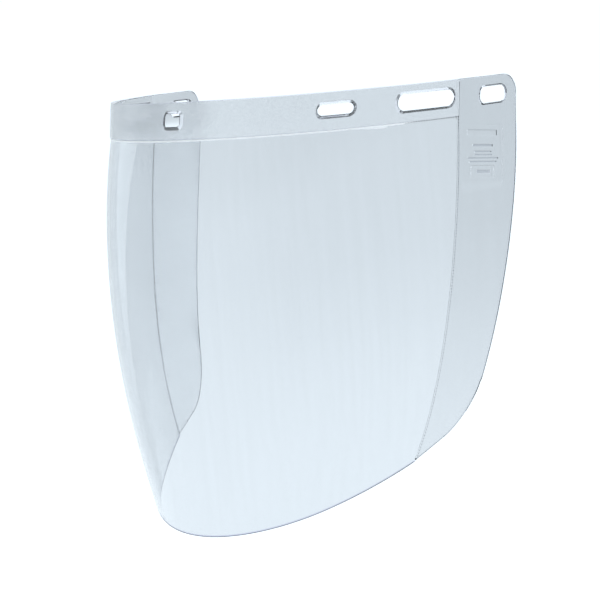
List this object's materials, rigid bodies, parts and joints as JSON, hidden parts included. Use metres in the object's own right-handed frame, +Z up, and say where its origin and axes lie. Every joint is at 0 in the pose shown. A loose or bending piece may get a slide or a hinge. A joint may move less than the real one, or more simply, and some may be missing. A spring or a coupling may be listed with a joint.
{
  "type": "face shield window",
  "caption": "Clear moulded face shield window, curved round the face, with a frosted brow band slotted for headgear studs and thin side wings.",
  "frame": {"origin": "middle of the window's flat top edge at the front centre, in the mid-plane of symmetry", "axes": "+Z up as worn, -Y forwards out of the window's front, +X to one side, across the plane of symmetry"},
  "size_m": [0.2152, 0.1609, 0.2143],
  "materials": {
    "frosted_band": "clear polycarbonate with a fine frosted texture on its outer face",
    "clear_window": "polished clear polycarbonate with a faint blue tint",
    "clear_wing": "polished clear polycarbonate, faintly greyer than the window"
  },
  "bodies": {
    "root": {"brow_band": "frosted_band", "viewing_window": "clear_window", "right_wing": "clear_wing", "left_wing": "clear_wing"}
  },
  "joints": []
}
